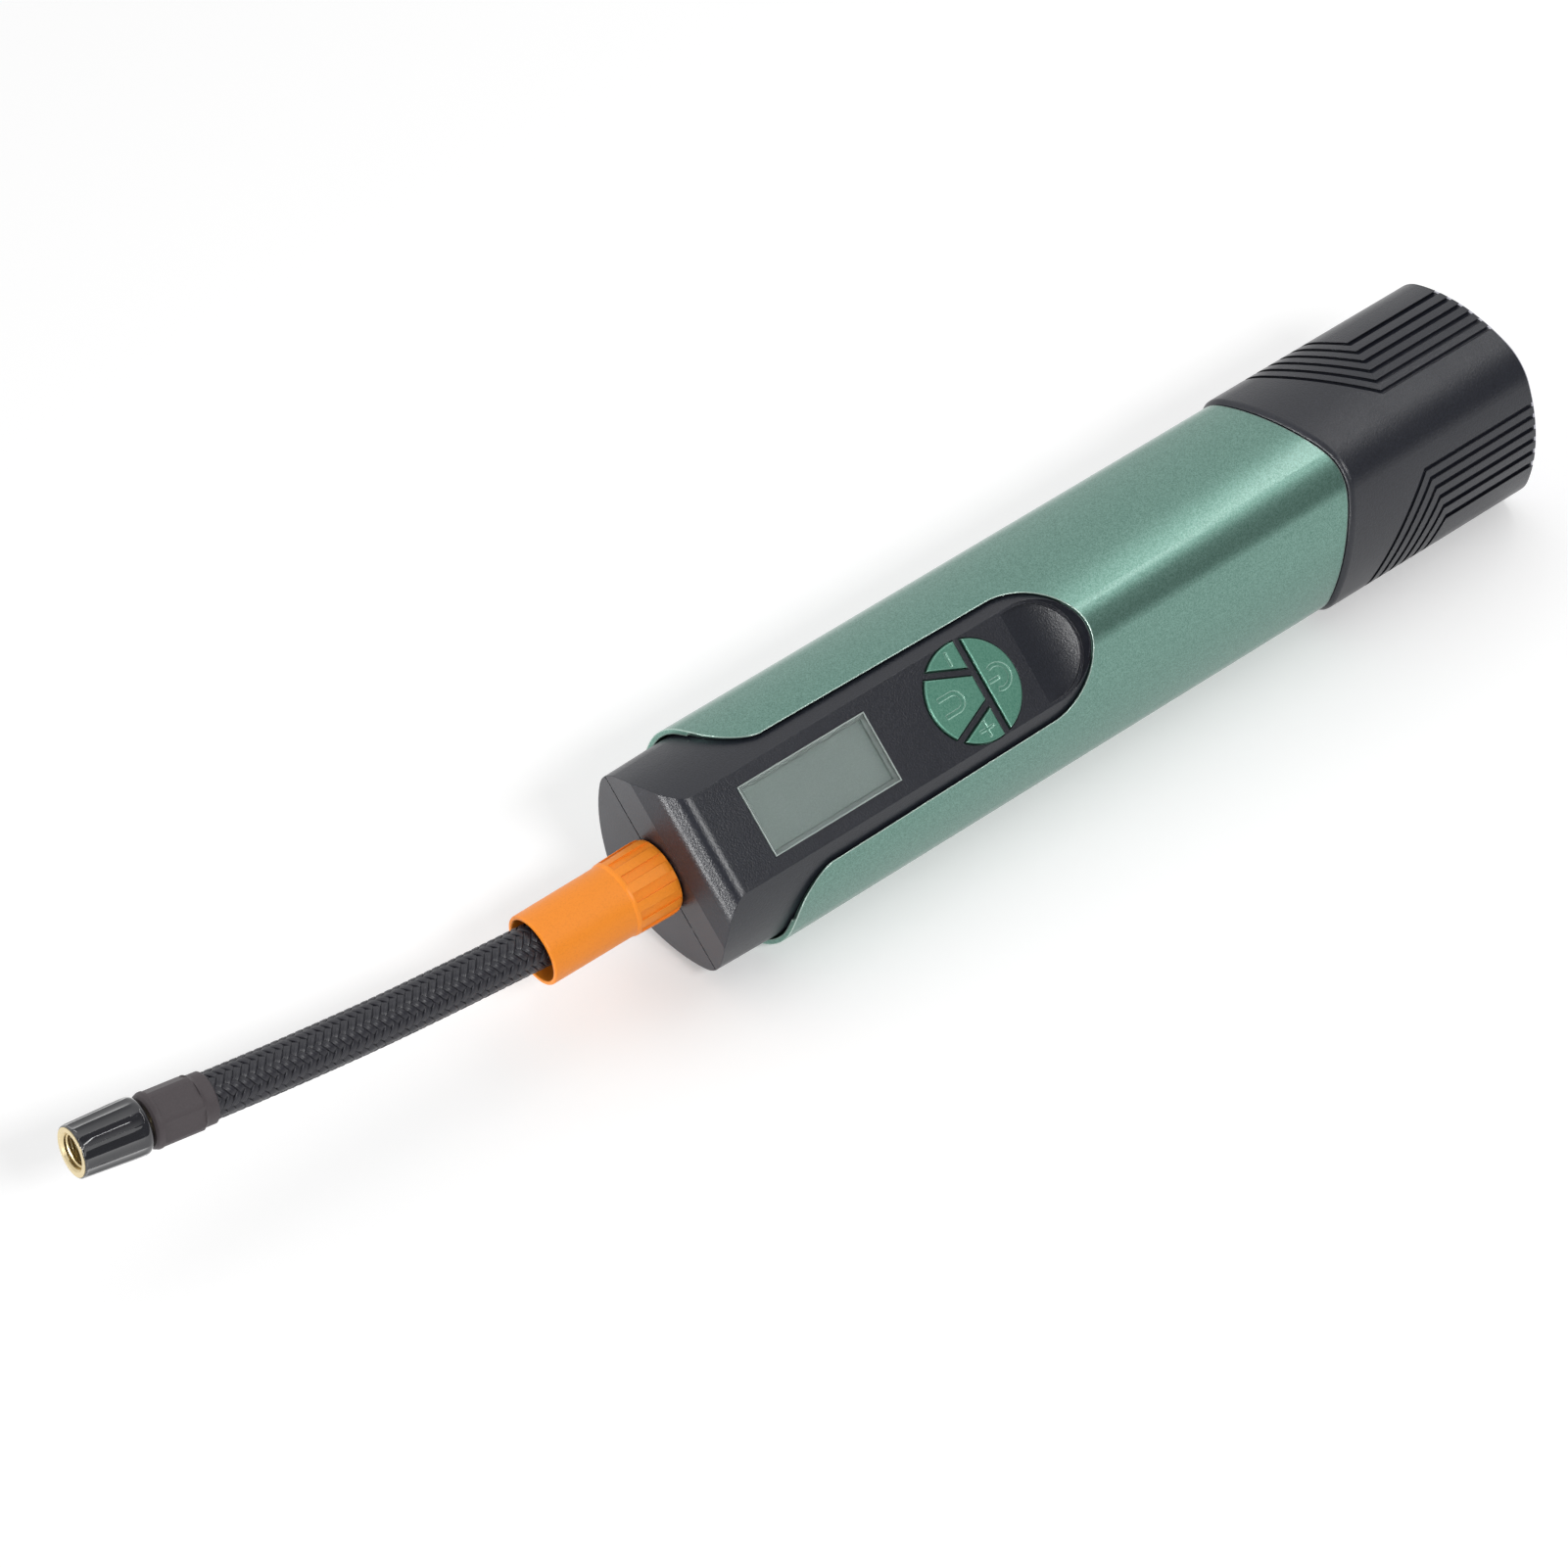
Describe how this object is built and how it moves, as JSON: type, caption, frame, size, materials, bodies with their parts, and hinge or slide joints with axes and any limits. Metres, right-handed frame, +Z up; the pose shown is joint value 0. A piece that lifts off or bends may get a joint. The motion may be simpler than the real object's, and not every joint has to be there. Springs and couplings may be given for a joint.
{
  "type": "portable tire inflator",
  "caption": "Cordless hand-held tyre inflator: long rounded-square body in a metal sleeve, display and keys on a flat panel, short hose with a screw-on valve chuck.",
  "frame": {"origin": "on the surface it rests on, under the middle of the body with its hose nut", "axes": "+X along the body towards the rear cap, +Z up when it lies on a flat side, the panel faces -Y and +Z"},
  "size_m": [0.3787, 0.0488, 0.0487],
  "materials": {
    "anodised_sleeve": "green metallic finish, satin",
    "case_plastic": "fine moulded texture",
    "plate_plastic": "light moulded plastic",
    "window_acrylic": "clear acrylic over a grey display",
    "display_glass": "liquid crystal glass",
    "lamp_glass": "clear lens",
    "lamp_mirror": "vacuum metallised",
    "circuit_board": "glass fibre board",
    "lamp_chip": "phosphor on ceramic",
    "key_plastic": "green metallic lacquer",
    "nut_plastic": "orange moulded plastic",
    "hose_rubber": "braided textile cover",
    "soft_rubber": "moulded rubber",
    "blackened_steel": "crimped and blackened",
    "grip_plastic": "moulded grip",
    "brass": "turned",
    "steel": "bright",
    "zinc_casting": "die cast",
    "gear_nylon": "moulded nylon",
    "slide_ring": "fluoropolymer",
    "cell_can": "shrink wrapped"
  },
  "bodies": {
    "inflator": {"sleeve": "anodised_sleeve", "upper_shell": "case_plastic", "lower_shell": "case_plastic", "rear_cap": "case_plastic", "rear_plate": "plate_plastic", "lamp_lens": "lamp_glass", "lamp_reflector": "lamp_mirror", "lamp_board": "circuit_board", "lamp_led": "lamp_chip", "charge_board": "circuit_board", "charge_socket": "steel", "display_lens": "window_acrylic", "display_panel": "display_glass", "main_board": "circuit_board", "tact_switches": "steel", "case_screws": "steel", "board_screws": "steel", "cap_screws": "steel", "outlet_fitting": "zinc_casting", "pressure_sensor": "grip_plastic", "hose_tail": "brass", "tail_o_ring": "soft_rubber", "hose": "hose_rubber", "hose_ferrule": "blackened_steel", "chuck_stem": "brass", "valve_pin": "brass", "gear_axle": "steel", "motor_can": "steel", "motor_end_cap": "grip_plastic", "motor_screws": "steel", "pump_frame": "zinc_casting", "cylinder": "zinc_casting", "cylinder_head": "zinc_casting", "head_screws": "steel", "valve_spring": "steel", "air_tube": "soft_rubber", "battery_cells": "cell_can", "cell_holders": "gear_nylon", "cell_strips": "steel"},
    "power_key": {"power_button": "key_plastic"},
    "unit_key": {"unit_button": "key_plastic"},
    "minus_key": {"minus_button": "key_plastic"},
    "plus_key": {"plus_button": "key_plastic"},
    "coupling_nut": {"hose_nut": "nut_plastic"},
    "chuck": {"chuck_sleeve": "grip_plastic", "chuck_insert": "brass", "chuck_seal": "soft_rubber"},
    "crank": {"crank_gear": "gear_nylon", "crank_pin": "steel"},
    "motor_rotor": {"motor_pinion": "brass", "motor_shaft": "steel"},
    "rod": {"connecting_rod": "zinc_casting"},
    "piston_group": {"piston": "zinc_casting", "piston_ring": "slide_ring", "wrist_pin": "steel"},
    "check_valve": {"valve_disc": "soft_rubber"}
  },
  "joints": [
    {"name": "power_key_press", "type": "slide", "parent": "inflator", "child": "power_key", "axis": [0, 0.7071, -0.7071], "range_m": [0, 0.0005], "stiffness_N_per_m": 3000, "springref_m": -0.0002},
    {"name": "unit_key_press", "type": "slide", "parent": "inflator", "child": "unit_key", "axis": [0, 0.7071, -0.7071], "range_m": [0, 0.0005], "stiffness_N_per_m": 3000, "springref_m": -0.0002},
    {"name": "minus_key_press", "type": "slide", "parent": "inflator", "child": "minus_key", "axis": [0, 0.7071, -0.7071], "range_m": [0, 0.0005], "stiffness_N_per_m": 3000, "springref_m": -0.0002},
    {"name": "plus_key_press", "type": "slide", "parent": "inflator", "child": "plus_key", "axis": [0, 0.7071, -0.7071], "range_m": [0, 0.0005], "stiffness_N_per_m": 3000, "springref_m": -0.0002},
    {"name": "nut_turn", "type": "hinge", "parent": "inflator", "child": "coupling_nut", "pos_m": [-0.11155, 0, 0.02437], "axis": [1, 0, 0], "continuous": true},
    {"name": "chuck_turn", "type": "hinge", "parent": "inflator", "child": "chuck", "pos_m": [-0.23634, 0.00459, 0.0377], "axis": [-0.9869, 0.0525, 0.1524], "continuous": true},
    {"name": "crank_turn", "type": "hinge", "parent": "inflator", "child": "crank", "pos_m": [-0.00425, -0.00424, 0.02013], "axis": [1, 0, 0], "range_deg": [-30, 30]},
    {"name": "motor_turn", "type": "hinge", "parent": "inflator", "child": "motor_rotor", "pos_m": [-0.00425, 0.00576, 0.03013], "axis": [1, 0, 0], "range_deg": [-124.7, 124.7]},
    {"name": "rod_swing", "type": "hinge", "parent": "crank", "child": "rod", "pos_m": [-0.01545, -0.00707, 0.02295], "axis": [1, 0, 0], "range_deg": [-31, 31]},
    {"name": "piston_slide", "type": "slide", "parent": "inflator", "child": "piston_group", "axis": [0, 0.7071, 0.7071], "range_m": [-0.0021, 0.0021]},
    {"name": "valve_lift", "type": "slide", "parent": "inflator", "child": "check_valve", "axis": [0, 0.7071, 0.7071], "range_m": [0, 0.0006], "stiffness_N_per_m": 300, "springref_m": -0.0003, "deforming": ["valve_spring"]}
  ],
  "couplings": [
    {"joint": "motor_turn", "follows": "crank_turn", "ratio": -4.0909},
    {"joint": "rod_swing", "follows": "crank_turn", "ratio": -1},
    {"joint": "piston_slide", "follows": "crank_turn", "m_per_rad": -0.0038197}
  ]
}
